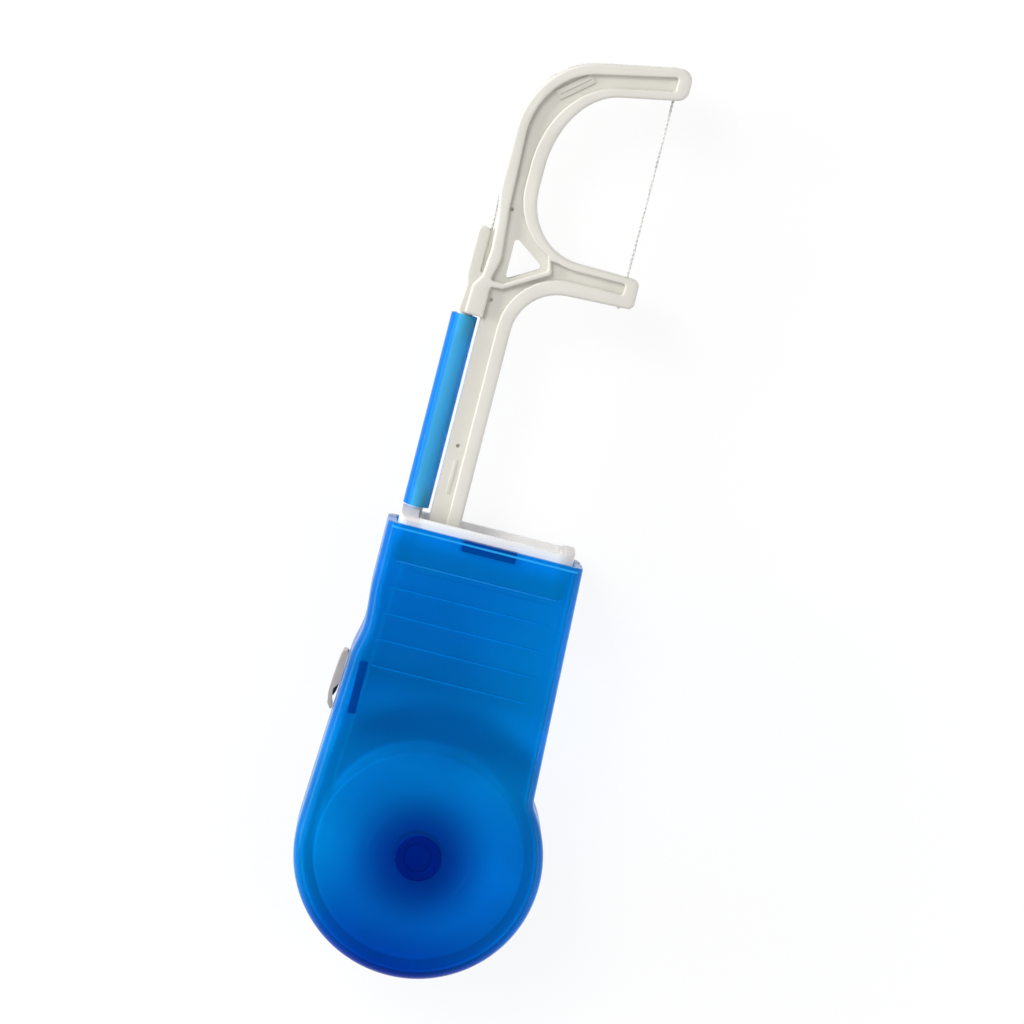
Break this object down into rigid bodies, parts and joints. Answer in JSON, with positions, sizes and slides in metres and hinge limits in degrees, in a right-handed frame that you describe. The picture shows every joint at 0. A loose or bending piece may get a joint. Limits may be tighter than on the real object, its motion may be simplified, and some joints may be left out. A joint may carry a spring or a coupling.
{
  "type": "floss holder",
  "caption": "Hand-held floss holder: a translucent case with a turning bobbin of floss, a neck with a guide tube, and a C-shaped fork that stretches the floss; a cutter sits on the case's side.",
  "frame": {"origin": "on the bobbin's axis, in the flat back face of the case that the holder lies on", "axes": "+Z out of the front of the case, +Y from the bobbin to the forked head"},
  "size_m": [0.0371, 0.14, 0.0157],
  "materials": {
    "blue_plastic": "translucent, glossy",
    "tube_plastic": "translucent, glossy",
    "white_plastic": "moulded, satin",
    "collar_plastic": "moulded, satin",
    "floss_thread": "waxed fibre",
    "steel": "stamped, bright"
  },
  "bodies": {
    "case": {"back_shell": "blue_plastic", "collar": "collar_plastic", "head_frame": "white_plastic", "floss_tube": "tube_plastic", "cutter": "steel", "floss_strand": "floss_thread"},
    "cover": {"front_shell": "blue_plastic"},
    "spool": {"bobbin": "white_plastic", "floss_pack": "floss_thread", "floss_turns": "floss_thread"}
  },
  "joints": [
    {"name": "cover_lift", "type": "slide", "parent": "case", "child": "cover", "axis": [0, 0, 1], "range_m": [0, 0.03]},
    {"name": "spool_turn", "type": "hinge", "parent": "case", "child": "spool", "pos_m": [0, 0, 0.00775], "axis": [0, 0, 1], "continuous": true}
  ]
}
